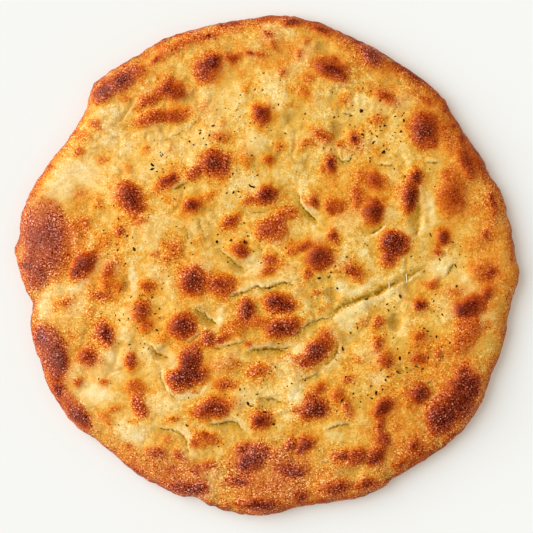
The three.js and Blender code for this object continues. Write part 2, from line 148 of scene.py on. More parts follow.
LOWER_RIGHT_SPOTS = [
    (30, -15.5, 3.8, 3, 0, .64), (34.5, -25, 3, 2, 0, .46), (7, -22, 8.5, 6, 0, 1),
    (14.5, -24.5, 4, 4, 0, .85), (9, -37, 10.5, 6.2, 14, 1), (30, -50.5, 12, 5.8, 40, 1),
    (22, -58, 4, 3, 20, .76), (35.5, -40.5, 3.8, 2.6, 10, .64), (17, -55.5, 4.5, 2.4, -15, .7),
    (67, -33, 4, 3.6, 90, .7), (58, -33, 4.5, 2.2, 0, .42), (67, -47.5, 4.3, 3.6, 90, .76),
    (71, -56, 5, 4.8, 0, .76), (55, -56, 5, 2.2, 0, .42), (48, -68, 3.4, 3, 0, .76),
    (32, -73, 5, 3.5, 30, .76), (43, -77.5, 5, 5, 0, .72), (48.5, -85, 5, 3, 90, .68),
    (27, -78, 6, 4, 50, .66), (30, -85, 8.5, 6, 5, 1), (24, -88.5, 6, 4, 10, .88),
    (17, -86.5, 4, 3, 0, .62), (71, -84.5, 6.5, 4.3, 42, 1), (68, -89, 4, 3.5, 0, .86),
    (68, -96, 6, 3.5, 95, .78), (70, -104, 6, 3.8, 95, .82), (66, -113.5, 6, 5, 50, .9),
    (64, -117.5, 4.5, 2.8, 15, .95), (54.5, -114.5, 7, 5, 10, .88), (44.5, -113.8, 5, 3, -5, .93),
    (24, -106.5, 5.5, 4.5, 50, .95), (21, -110, 5, 3.5, 20, .85), (14, -106.5, 5, 3.5, 20, .9),
    (15, -123, 9.5, 4.4, -5, .95), (6, -116, 9, 7, 0, .56), (20, -138.5, 6.5, 3.8, 5, .88),
    (42, -133.5, 10, 4.8, 8, .9), (60, -131.5, 9, 4, 18, .84), (80, -119, 5, 2.2, 35, .82),
    (89, -107.3, 3.4, 3, 60, .86), (93.5, -113, 4, 2.2, 30, .74), (77, -96, 4, 3, 90, .48),
    (92, -76.5, 6, 5.8, 90, 1), (120, -72, 10, 9, 0, .98), (116, -83, 11, 9, 60, .88),
    (113, -81, 22, 9.5, 49, .82), (105, -92, 10, 8.5, 60, 1), (118, -63, 5, 4, 0, .86),
    (92, -22.5, 4.2, 3.6, 90, 1), (99, -11, 4.5, 4, 0, .74), (95, -9.5, 4, 2, 0, .6),
    (113, -15, 7, 3.5, 0, .6), (110, -18, 4, 2.5, 0, .45), (122, -24.5, 9.5, 6.5, 20, 1),
    (132, -17, 5, 3.8, 60, .86), (117.5, -27.5, 5, 4.5, 0, .95), (121, -37, 11, 9, 90, .72),
    (117, -47, 7, 6, 70, .62), (92.5, -42, 4.8, 3.6, 0, .76), (90, -47, 3.5, 2.5, 0, .5),
    (90.5, -56, 5.3, 3.6, -5, .74), (103, -53, 4, 2, 80, .66),
]
SPOTS = UPPER_LEFT_SPOTS + UPPER_RIGHT_SPOTS + LOWER_LEFT_SPOTS + LOWER_RIGHT_SPOTS

# How brown the rim is, along the bearings all round it.
RIM_BEARINGS = (0, 30, 55, 75, 100, 125, 150, 165, 185, 205, 225, 250, 270, 295, 320, 345)
RIM_TOAST = (.42, .58, .69, .61, .7, .63, .38, .5, .62, .58, .66, .6, .68, .68, .58, .43)
DUST_AND_SHEEN_BEARING = math.radians(205)  # the rim shows most flour and painted sheen on this side, towards the key light

# Scorched places, where the crust is dull and ashen; on the left rim, which faces the light, the ashen
# mauve also stands for painted sheen.
SCORCHES = [
    (-137, 18, 27, 16, 88, 1), (-139, -4, 12, 9, 100, 1), (-131, -50, 17, 9, 105, .9),
    (-92, 109, 17, 7, 33, .7), (-118, -84, 13, 6, -50, .6), (63, 127.5, 9, 5, -35, .5),
    (-55, -124, 34, 12, -15, .5), (-2, -120, 30, 20, 0, .4), (-100, -104, 24, 8, -45, .4),
]

# Places where strong heat raised a grain of fine blisters.
GRAINY_PLACES = [(110, -88, 30, 22, 50, .8), (30, -95, 40, 40, 0, .8), (63, 127.5, 12, 7, -35, .7)]

# Places where the skin stayed calm and smooth.
CALM_PLACES = [
    (-84, -115, 28, 13, -40, .55), (42, -122, 28, 14, 0, .4), (-84, 42, 18, 18, 0, .4),
    (83, -83, 16, 16, 0, .3), (-50, -122, 16, 12, -15, .2),
]

# Wide places toasted to gold or orange or, below 0, paler; the paler ones lie mostly on the left, towards
# the key light, and are partly painted light.
TOASTED_PLACES = [
    (0, 132, 60, 22, 0, .1), (75, 118, 45, 16, -40, .2), (135, 20, 75, 20, 97, .2),
    (100, -80, 45, 26, 50, .2), (20, -128, 60, 22, 0, .18), (-60, -132, 30, 9, -25, .14),
    (-105, 15, 30, 20, 90, .13), (-110, -50, 16, 16, 0, .14), (85, -75, 36, 30, 0, .1),
    (95, -108, 30, 12, 32, .16), (-115, -45, 30, 20, 100, .08), (-85, 110, 30, 14, 30, .06),
    (57, 47, 28, 18, 60, .2), (105, 55, 30, 22, 90, .08), (102, -27, 20, 16, 0, .06),
    (22, -62, 20, 16, 0, .06), (61, -61, 24, 18, 0, .06), (-98, 92, 14, 10, 60, -.1),
    (-18, -30, 26, 16, 0, .06), (-100, 65, 45, 35, 0, -.08), (-95, -75, 40, 30, 0, -.09),
    (-125, -22, 30, 18, 90, -.1), (-65, -102, 40, 16, -15, -.08), (-18, 16, 24, 18, 0, -.06),
    (-20, -62, 24, 16, 0, .05),
]

# Hollows, pressed by finger tips or left between blisters; the strength is their depth.
HOLLOWS = [
    (43, 81, 6.5, 5.5, 90, 3), (77.5, -34, 6.2, 4.8, 90, 3.6), (-46, 102, 7, 5, 0, 2),
    (-17, 0, 7, 5, -40, 1.4), (40, -17, 6, 6, 0, 2.5), (5, -51, 13, 5, 0, 2.5),
    (-35, -30, 9, 6.5, -30, 2.2), (3, -84, 8, 6, 0, 2.2), (-84, -10, 6, 3, 90, 1.6), (-22, -97, 9, 6, 0, 2),
    (35, 131, 7, 5, 0, 1.8), (90, 30, 14, 5.5, 90, 2), (-63, -53, 7, 5, 0, 1.8), (14, 88, 8, 6, 0, 1.5),
    (50, -123, 9, 5, 0, 1.8),
]

# Pale places, which stayed cream: bare dough, and ridges towards the light, where the cream is a painted
# highlight.
PALE_AND_LIT_PLACES = [
    (47, -33, 7, 4.5, -10, .7), (18, -49, 5, 3.5, 0, .9), (13, -56, 3, 3, 0, .8), (66, -68, 6, 5, 0, .45),
    (18, -77, 6, 5, 60, .9), (-28.5, -31, 7, 3.5, 70, 1), (-58, -57, 5, 4, 90, .8),
    (-62, -51, 4, 2.5, -45, .8), (-64.5, -64, 8, 1.6, 95, 1), (-60, -74.5, 5, 1.4, -50, 1),
    (-50, -77.5, 8, 1.4, 0, 1), (-38, -74, 5, 1.2, 35, .9), (-81, -9, 9, 2, 100, .9),
    (-113, -13, 8, 3, 40, .6), (-134, -24, 7, 5, 90, .8), (-92, -57, 10, 5, 90, .7),
    (-105, -75, 10, 6, 0, .7), (-83, -102, 9, 5, -30, .6), (-90, 86, 11, 5, 70, .2),
    (-110, 55, 14, 10, 20, .25), (98, 35, 10, 3, 95, .7), (45, -13, 5, 4, 90, .8), (82, -37, 5, 4, 90, .4),
    (20, 47, 5, 1.2, 100, .5), (27, 33, 5, 1.5, -45, .8), (-10, 1, 9, 6, 0, .8),
    (-14, -95.5, 6, 1.6, -50, .8), (-46, -103, 9, 1.6, -55, .8), (12, -89, 5, 2, 80, .6),
    (104, 0, 12, 8, 20, .5), (60, -24, 12, 3, 20, .25), (80, -14, 8, 4, 30, .3),
    (56, -13, 12, 2.2, 22, .75), (118, -7, 4, 2.5, 0, .7), (33, -62, 8, 3, 40, .4),
]

# Torn creases: depth, then x, y and half width along each one.
CREASES = [
    (1.3, [(15, -42.5, .4), (20, -39, .6), (24, -35.8, .6), (28, -33.2, .6), (33, -31.7, .6),
          (38, -31, .8)]),
    (1.6, [(92, -2.6, .5), (87, -5.3, .8), (82, -8, 1.2), (77, -10.5, 1.6), (71, -13.3, 1.7),
          (67, -16, 1.8), (62, -17.4, 2), (57, -19.6, 2.2), (52, -21.5, 2.4), (47, -23, 2.4),
          (42, -26.5, 2), (39, -30, 1.4)]),
    (1.6, [(-43, -26, .4), (-37.5, -29, .7), (-35, -32, .9), (-31, -34.5, .6)]),
    (1.6, [(18.5, 43, .5), (19.5, 39, .7), (22, 35, .8), (25, 31.5, .7), (29, 28, .5)]),
    (1.4, [(70.5, 24.5, .6), (66, 21, .8), (62.5, 19.5, .6)]),
    (1.5, [(43, 66, .6), (44, 63, .8), (47, 62.5, .8), (50, 63.5, .8), (52, 67, .6)]),
    (1, [(69, 60.5, .8), (75, 60, .7)]), (1, [(96.5, 62, .8), (102, 62.5, .7)]),
    (1.2, [(108.5, -4.5, .7), (110, -2, .9), (112.5, .8, .7)]), (1, [(-56, 46, .8), (-48, 50, .8)]),
    (.8, [(-81, 98, .8), (-88, 87, .8)]), (.8, [(-49, 24, .6), (-47, 16, .6)]),
    (.8, [(-41, 28, .6), (-38, 18, .6)]),
    (1.1, [(-29, 10.5, .5), (-24, 6, .7), (-19, 1.5, .8), (-14, -2, .5)]),
    (.9, [(-1, 33, .5), (-7, 32, .7), (-12, 33.5, .5)]),
    (1.5, [(-20, -18, .8), (-14, -16, 1.1), (-10, -14.5, 1.1), (-6.5, -12, 1.1), (-3, -13.2, 1.2),
          (1.5, -13, 1.2), (6, -11, 1.2), (10, -10.2, 1.1), (15, -10.6, .8)]),
    (.9, [(-30, -49.5, .7), (-22, -47.5, .8), (-14, -45, .7)]),
    (1.5, [(-10, -51, .9), (0, -49.8, 1.2), (8, -50.3, 1.3), (13, -49, .9)]),
    (.9, [(-64, -62, .7), (-63, -70, .8), (-60, -76, .8), (-55, -79, .7)]),
    (1.1, [(-69, -49, .8), (-66, -53, 1), (-60, -54.5, .8)]),
    (1, [(-47, -46, .8), (-44, -44, .9), (-41, -41, .7)]),
    (1.3, [(-33, -95.2, .5), (-26, -94.3, .8), (-22, -93.5, .9), (-18, -94.5, .8), (-13, -99.5, .5)]),
    (1.2, [(-63, -98, .5), (-57, -98.5, .8), (-52, -100.5, .8), (-49, -104, .9), (-48, -107.5, .8),
          (-47, -112, .5)]),
    (1.2, [(-3, -79.5, .9), (3, -79.8, 1.2), (8, -81.5, .9)]),
    (1.2, [(36, -98, .5), (41, -96.2, .9), (45, -95.3, .9), (49, -95, .5)]),
    (.8, [(33, -118, .8), (37, -117, .8)]),
    (1, [(43, -47, .8), (41, -54, 1), (36, -58.5, 1), (33, -61.5, .8)]),
    (1, [(20, -69, .8), (26, -67, 1), (30, -65.5, .8)]),
    (.8, [(-64, 75.5, .6), (-57, 77.5, .7), (-50, 81, .6)]), (.8, [(-46, 82.5, .6), (-42, 87, .6)]),
    (.9, [(90, 48, 1.4), (91, 30, 1.8), (90, 20, 1.4)]),
    (.5, [(40, 106, .9), (45, 107.5, 1.1), (50, 107, .9)]), (.9, [(46, 91.5, .7), (51, 90.5, .7)]),
]

# Ripples of the dough, each one a noise of its own: wave length, layer of the noise, octaves.
RIPPLES = {
    "rim bulges": (9, 0.5, 2), "rim mottle": (9, 23.5, 2),
    "stray x": (9, 11.5, 2), "fine stray x": (3.5, 13.5, 2),
    "stray y": (9, 17.5, 2), "fine stray y": (3.5, 19.5, 2),
    "tear x": (4, 43.5, 2), "tear y": (4, 47.5, 2), "tear depth": (5, 49.5, 2),
    "wide tone": (30, 29.5, 2), "tone patches": (11, 31.5, 2),
    "puffs": (14, 37.5, 1), "lumps": (6, 39.5, 1), "pores": (3, 41.5, 2),
    "fold places": (38, 59.5, 2), "folds": (17, 53.5, 2), "wrinkles": (9, 71.5, 2),
}


def rim_reach(bearings):
    """Distance from the middle to the rim along each bearing, from the solid's outermost points."""
    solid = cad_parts["focaccia"].data
    flat = np.empty(len(solid.vertices) * 3)
    solid.vertices.foreach_get("co", flat)
    x, y, _ = flat.reshape(-1, 3).T / MILLIMETRE
    sector_width = FULL_TURN / RIM_SECTORS
    sector = np.rint(np.arctan2(y, x) / sector_width).astype(int) % RIM_SECTORS
    farthest = np.zeros(RIM_SECTORS)
    np.maximum.at(farthest, sector, np.hypot(x, y))
    return np.interp(bearings, np.arange(RIM_SECTORS) * sector_width, farthest, period=FULL_TURN)


def sheet_place(across, up):
    """Bearing and ring of places on a square sheet two units wide; its squares become the round's rings."""
    sideways = abs(across) >= abs(up)
    ring = np.maximum(abs(across), abs(up))
    along = np.where(sideways, across, up)
    share = np.where(sideways, up, across) / np.where(along == 0, 1, along)
    turn = np.where(sideways, share * math.pi / 4, math.pi / 2 - share * math.pi / 4)
    return np.where(along < 0, turn + math.pi, turn), ring


def ripple(name, places):
    """Smooth noise from about -1 to 1 at each place."""
    size, layer, octaves = RIPPLES[name]
    return np.array([noise.fractal((x / size, y / size, layer), 1, 2, octaves) for x, y in zip(*places)])


def ripples(names, places):
    """One noise along x and another along y."""
    return np.array([ripple(name, places) for name in names])


def ease(low, high, value):
    """0 up to low, 1 from high on and a smooth step between them; low may be the larger one."""
    share = np.clip((value - low) / (high - low), 0, 1)
    return share * share * (3 - 2 * share)


def weigh(weights, *parts):
    """The first weight by itself, and each other weight times its part."""
    total = weights[0]
    for weight, part in zip(weights[1:], parts):
        total = total + part * weight
    return total


def oval_distance(places, oval):
    """How far places lie from an oval's middle: 1 on its edge."""
    middle_x, middle_y, long, wide, turn, _ = oval
    off_x = places[0] - middle_x
    off_y = places[1] - middle_y
    lean = math.radians(turn)
    along = math.cos(lean) * off_x + math.sin(lean) * off_y
    aside = math.cos(lean) * off_y - math.sin(lean) * off_x
    return np.hypot(along / long, aside / wide)


def oval_strengths(places, ovals, none, whole):
    """What each oval adds at each place: its whole strength up to one distance, and none past the other."""
    return np.array([oval[5] * ease(none, whole, oval_distance(places, oval)) for oval in ovals])


def crease_distance(places, way):
    """How places lie to a crease: distance in half widths, above 0 on the left of its way; how far past
    its ends; and the plain distance."""
    x, y = places
    nearest = np.full(x.shape, np.inf)
    signed = np.full(x.shape, np.inf)
    past_end = np.zeros(x.shape)
    away = np.full(x.shape, np.inf)
    for start, end in zip(way, way[1:]):
        run_x, run_y, widening = (last - first for first, last in zip(start, end))
        length = math.hypot(run_x, run_y)
        along = ((x - start[0]) * run_x + (y - start[1]) * run_y) / length
        share = np.clip(along / length, 0, 1)
        off_x = x - start[0] - share * run_x
        off_y = y - start[1] - share * run_y
        relative = np.hypot(off_x, off_y) / (start[2] + share * widening)
        closer = relative < nearest
        nearest = np.where(closer, relative, nearest)
        signed = np.where(closer, np.where(run_x * off_y > run_y * off_x, relative, -relative), signed)
        beyond = np.maximum(-along if start is way[0] else 0, along - length if end is way[-1] else 0)
        past_end = np.where(closer, beyond, past_end)
        away = np.where(closer, np.hypot(off_x, off_y), away)
    return signed, past_end, away


def add_object(name, mesh):
    """Puts a finished mesh into the scene as an object."""
    data = bpy.data.meshes.new(name)
    mesh.to_mesh(data)
    mesh.free()
    added = bpy.data.objects.new(name, data)
    bpy.context.collection.objects.link(added)
    return added


crust_mesh = bmesh.new()
bmesh.ops.create_grid(crust_mesh, x_segments=SHEET_STEPS, y_segments=SHEET_STEPS, size=1)
sheet = np.array([vert.co for vert in crust_mesh.verts])
bearing, ring = sheet_place(sheet[:, 0], sheet[:, 1])
outward = np.array([np.cos(bearing), np.sin(bearing)])
reach = rim_reach(bearing)
bulges = abs(ripple("rim bulges", reach * outward))
reach += RIM_SCALLOPS * (bulges - np.mean(bulges))
swell_bearings, swells = zip(*RIM_SWELLS)
reach += np.interp(bearing, np.radians(swell_bearings), swells, period=FULL_TURN)

# The sheet's run from the middle: flat top, round shoulder, tuck in under the widest line.
top_run = reach - SHOULDER_WIDTH
run = ring * (top_run + SHOULDER_RUN + TUCK_RUN)
shoulder_turn = np.clip((run - top_run) / SHOULDER_RUN, 0, 1) * math.pi / 2
tuck_turn = np.clip((run - top_run - SHOULDER_RUN) / TUCK_RUN, 0, 1) * math.pi / 2
out = np.minimum(run, top_run) + SHOULDER_WIDTH * np.sin(shoulder_turn)
out -= BASE_TUCK * (1 - np.cos(tuck_turn))
plan = out * outward
seen = plan * SEEN_SPREAD

# Browned spots and their blisters, on places that wander a little so that no spot is a clean oval.
STRAY = 1.8
FINE_STRAY = 0.6
FAINTEST = 0.2  # a spot of this brownness doesn't show on the dough
CORE_WEIGHT = 0.34
HALO_WEIGHT = 0.64
HALOS = [(0.58, 2.4, -1.8), (0.42, 8, -1)]  # share, and where it ends and is whole outside the spot
MELDING = 3  # the higher, the less two spots add to each other
FLAT_BROWN = 0.3  # up to this brownness a spot is hardly raised
BLISTER_RISES = (0.4, 4)
FULL_WIDTH = 6  # a blister with this half width rises to its full height
DOME_SHARE = 0.65
DOME_EDGE = 1.05
DOME_ROUNDNESS = 0.9

wander = seen + STRAY * ripples(("stray x", "stray y"), plan)
wander += FINE_STRAY * ripples(("fine stray x", "fine stray y"), plan)
spot_power = np.zeros(ring.shape)
blister_rise = np.zeros(ring.shape)
for spot in SPOTS:
    distance = oval_distance(wander, spot)
    wide, brown = spot[3], spot[5]
    power = max(0, brown - FAINTEST) / (1 - FAINTEST)
    core = ease(1, 0.2, distance)
    outside = (distance - 1) * wide
    halo = sum(share * ease(none, whole, outside) for share, none, whole in HALOS)
    spot_power += (power * (CORE_WEIGHT * core + HALO_WEIGHT * halo)) ** MELDING
    height = weigh(BLISTER_RISES, max(0, brown - FLAT_BROWN)) * min(1, wide / FULL_WIDTH)
    dome = DOME_SHARE * np.maximum(0, DOME_EDGE - distance ** 2) ** DOME_ROUNDNESS
    skirt = (1 - DOME_SHARE) * ease(2.2, 0.3, distance)
    blister_rise = np.maximum(blister_rise, height * (dome + skirt))
spot_brown = np.minimum(1, spot_power ** (1 / MELDING))

# Browning of the rim, along the turn of its shoulder and tuck, and of the dough between the spots.
RIM_MOTTLE = 0.25
EDGE_TONES = (0.76, 0.16)  # how brown the outermost edge is, and how much that wavers
SIDE_TONES = (0.58, 0.16)
DOUGH_TONES = (0.2, 0.05, 0.12)  # plain dough, wide waves, patches

rim_toast = np.interp(bearing, np.radians(RIM_BEARINGS), RIM_TOAST, period=FULL_TURN)
rim_mottle = ripple("rim mottle", run * outward)
rim_edge = ease(1.05, 1.4, shoulder_turn)
rim_brown = ease(0.05, 1.2, shoulder_turn) * (rim_toast + RIM_MOTTLE * rim_mottle)
rim_brown = np.maximum(rim_brown, rim_edge * weigh(EDGE_TONES, rim_mottle))
side_brown = ease(0, 0.6, tuck_turn) * weigh(SIDE_TONES, rim_mottle)
patches = ease(0.05, 0.6, ripple("tone patches", wander))
dough_tone = weigh(DOUGH_TONES, ripple("wide tone", plan), patches)
dough_tone += oval_strengths(seen, TOASTED_PLACES, 1.6, 0).sum(axis=0)

# Ash on scorched crust and flour near the rim, both partly painted sheen, and the grain of fine blisters,
# coarser where it was hot, which also sets the painted glints.
RIM_ASH = 0.5
DUST_AND_SHEEN_SIDES = (0.8, 0.2)
GRAIN_FADE_WAY = (0.75, 0.66)  # grain and painted glints fade towards the upper right
LEAST_GRAIN = 0.35

ash_and_sheen = oval_strengths(wander, SCORCHES, 1.35, 0.6).max(axis=0)
ash_and_sheen = np.maximum(ash_and_sheen, RIM_ASH * rim_edge)
# A breath of flour near the rim, which also stands for painted sheen, strongest on the side towards the
# light.
rim_dust_and_sheen = ease(0.66, 0.92, out / reach) * weigh(DUST_AND_SHEEN_SIDES, np.cos(bearing - DUST_AND_SHEEN_BEARING))
# Grain, and with it the painted glints, is stronger towards the lower left.
grain_fade = GRAIN_FADE_WAY[0] * seen[0] + GRAIN_FADE_WAY[1] * seen[1]
grainy = LEAST_GRAIN + (1 - LEAST_GRAIN) * ease(60, -90, grain_fade)
grainy = np.maximum(grainy, oval_strengths(seen, GRAINY_PLACES, 1.5, 0.5).max(axis=0))
grainy *= np.prod(1 - oval_strengths(seen, CALM_PLACES, 1.4, 0.5), axis=0)

# Hollows, and creases that are torn open: on the left of its way a crease has a raised lip, painted paler
# as a highlight, and on the right the dough sinks into it in a soft, oily fold, painted darker as shade.
HOLLOW_ROUNDNESS = 1.2
TORN_STRAY = 0.9
TORN_DEPTHS = (0.6, 0.5)
LIP_SLACK = 1.1  # half widths that the gap takes up on the lip's side and on the fold's
FOLD_SLACK = 2
LIP_SOAK = 1.3  # how far from the gap the dough sinks and is oily and painted darker, on each side
FOLD_SOAK = 4.2
FOLD_DEPTH = 0.6
FOLD_OIL_AND_SHADE = 0.75
SOAKED_THROUGH = 0.4
OILY_DEPTH = 1.6  # a crease this deep is full of oil and painted shade
SHARP_DEPTH = 1.8  # a crease this deep and no wider than this shows as a sharp painted shadow line
SHARP_WIDTH = 1.1
PALE_DEPTH = 1.5
END_FADE = 1.5
TEAR_REACH = 4.0  # half widths past which a crease no longer shows
LIP_RISE = 0.2
LIP_HIGHLIGHT = 0.4

hollow_depth = np.zeros(ring.shape)
for hollow in HOLLOWS:
    distance = oval_distance(wander, hollow)
    hollow_depth += hollow[5] * np.maximum(0, 1 - distance ** 2) ** HOLLOW_ROUNDNESS
pale_and_highlight = oval_strengths(wander, PALE_AND_LIT_PLACES, 1.5, 0.1).max(axis=0)
torn_places = seen + TORN_STRAY * ripples(("tear x", "tear y"), plan)
uneven = weigh(TORN_DEPTHS, ripple("tear depth", plan))
crease_depth = np.zeros(ring.shape)
crease_oil_and_shade = np.zeros(ring.shape)
lip_rise = np.zeros(ring.shape)
tear = np.zeros(ring.shape)
tear_side = np.full(ring.shape, TEAR_REACH)
for depth, way in CREASES:
    signed, past_end, away = crease_distance(torn_places, way)
    gap = ease(1, 0, abs(signed) / np.where(signed < 0, FOLD_SLACK, LIP_SLACK))
    soak = np.where(signed < 0, FOLD_SOAK, LIP_SOAK)
    crease_depth += uneven * depth * np.maximum(gap, FOLD_DEPTH * ease(soak, 0, away))
    soak_and_shade = np.maximum(gap, FOLD_OIL_AND_SHADE * ease(soak, SOAKED_THROUGH, away))
    crease_oil_and_shade = np.maximum(crease_oil_and_shade, min(1, depth / OILY_DEPTH) * soak_and_shade)
    breadth = sum(half_width for _, _, half_width in way) / len(way)
    sharpness = min(1, depth / SHARP_DEPTH) * min(1, SHARP_WIDTH / breadth)
    within = ease(END_FADE, 0, past_end)
    nearer = abs(signed) < abs(tear_side)
    tear = np.where(nearer, sharpness * within * ease(TEAR_REACH, 3, abs(signed)), tear)
    tear_side = np.where(nearer, signed, tear_side)
    lip = ease(0.6, 1.6, signed) * ease(TEAR_REACH, 1.8, signed) * within
    lip_rise = np.maximum(lip_rise, LIP_RISE * min(1, depth) * lip)
    # Painted highlight: the raised lip is painted paler.
    pale_and_highlight = np.maximum(pale_and_highlight, LIP_HIGHLIGHT * lip * min(1, depth / PALE_DEPTH))

# Soft puffs of the risen dough, and folds and wrinkles where it puckered between the spots.
puffs = ripple("puffs", plan)
folds = ease(-0.1, 0.5, ripple("fold places", plan)) * (1 - ease(0.2, 0.6, spot_brown))
folds *= ease(0.2, 0, abs(ripple("folds", wander)))
wrinkles = ease(0.16, 0, abs(ripple("wrinkles", wander)))
wrinkles *= 1 - ease(0.2, 0.5, spot_brown)

# What the crust shows in the end: the browning, paler on puffs with painted highlight, and oil with painted
# shade in low places, hollows, folds, wrinkles and creases.
PUFF_HIGHLIGHT = 0.24
PALE_LIFT = 0.16
OIL_AND_SHADE_WEIGHTS = (0, 0.9, 0.16, 0.4, 0.25, 0.2)

browning = dough_tone + (1 - dough_tone) * np.maximum.reduce([spot_brown, rim_brown, side_brown])
unbrowned = 1 - ease(0.25, 0.55, spot_brown)
# Painted highlight: the tops of the puffs are painted paler.
puff_highlight = PUFF_HIGHLIGHT * ease(0.1, 0.6, puffs) * ease(0.42, 0.26, dough_tone)
pale_and_highlight = unbrowned * np.maximum(pale_and_highlight, puff_highlight)
browning -= PALE_LIFT * pale_and_highlight
# Oil and painted shade: hollows, folds, wrinkles, creases and the dips between puffs are painted darker.
pooled_oil_and_shade = weigh(OIL_AND_SHADE_WEIGHTS, crease_oil_and_shade, hollow_depth, folds, wrinkles, ease(0.1, -0.5, puffs))
on_top = ease(1.45, 0.9, shoulder_turn)
oil_and_shade = np.clip(pooled_oil_and_shade, 0, 1) * unbrowned * on_top
pale_and_highlight *= on_top

# Heights: slow waves of the dough, blisters, hollows, creases, and the fine unevenness of the baked skin.
LUMP_HEIGHT = 0.33
PORE_HEIGHT = 0.13
FOLD_SINK = 0.8
WRINKLE_SINK = 0.35

top = DOUGH_HEIGHT + WAVE_HEIGHT * np.sin(plan[0] / WAVE_LENGTH[0]) * np.cos(plan[1] / WAVE_LENGTH[1])
top += blister_rise + lip_rise - hollow_depth - crease_depth - FOLD_SINK * folds
top -= DOME_FALL * ease(0.5, 1, out / reach)
top += puffs + LUMP_HEIGHT * ripple("lumps", plan) + PORE_HEIGHT * ripple("pores", plan)
top -= WRINKLE_SINK * wrinkles
shoulder_height = WIDEST_HEIGHT + (top - WIDEST_HEIGHT) * np.cos(shoulder_turn)
z = np.where(tuck_turn > 0, WIDEST_HEIGHT * (1 - np.sin(tuck_turn)), shoulder_height)
for vert, point in zip(crust_mesh.verts, np.stack([*plan, z], axis=1) * MILLIMETRE):
    vert.co = point

# The flat base fills the sheet's edge in rings.
open_edges = [edge for edge in crust_mesh.edges if edge.is_boundary]
base = bmesh.ops.edgeloop_fill(crust_mesh, edges=open_edges)["faces"][0]
last_ring = 1
for base_ring in BASE_RINGS:
    base = bmesh.ops.extrude_discrete_faces(crust_mesh, faces=[base])["faces"][0]
    inward = base_ring / last_ring
    bmesh.ops.scale(crust_mesh, vec=(inward, inward, 1), verts=base.verts)
    last_ring = base_ring
bmesh.ops.poke(crust_mesh, faces=[base])
bmesh.ops.recalc_face_normals(crust_mesh, faces=crust_mesh.faces)
for face in crust_mesh.faces:
    face.smooth = True
crust = add_object("focaccia_crust", crust_mesh)

# The fields, painted on the crust's points; the base's own points, which come last, are all underside.
layers = {
    "browning": browning, "oil_and_shade": oil_and_shade, "pale_and_highlight": pale_and_highlight, "tear": tear, "tear_side": tear_side, "ash_and_sheen": ash_and_sheen,
    # The side value runs from 0 on the left to 1 on the right, where painted shade makes the crust less
    # red.
    "grainy": grainy, "rim_dust_and_sheen": rim_dust_and_sheen, "shaded_side": ease(-120, 50, seen[0]), "under": ease(0.9, 1.57, tuck_turn),
}
for name, values in layers.items():
    painted = np.full(len(crust.data.vertices), 1.0 if name == "under" else 0.0)
    painted[:len(values)] = values
    crust.data.attributes.new(name, "FLOAT", "POINT").data.foreach_set("value", painted)


EYE_GAMMA = 2.2
GRIT_STEPS = (0.83, 1, 1.35)  # the grit also stands for painted glints of white light, so red steps least and blue most


class Signal:
    """One output socket of a material; arithmetic on it adds Math nodes."""

    def __init__(self, finish, socket):
        self.finish = finish
        self.socket = socket

    def math(self, operation, first, second):
        values = {"Value": first, "Value_001": second}
        return self.finish.node("ShaderNodeMath", "Value", {"operation": operation}, values)

    def __add__(self, other):
        return self.math("ADD", self, other)

    def __radd__(self, other):
        return self.math("ADD", other, self)

    def __sub__(self, other):
        return self.math("SUBTRACT", self, other)

    def __rsub__(self, other):
        return self.math("SUBTRACT", other, self)

    def __mul__(self, other):
        return self.math("MULTIPLY", self, other)

    def __rmul__(self, other):
        return self.math("MULTIPLY", other, self)

    def __abs__(self):
        return self.math("ABSOLUTE", self, 0)


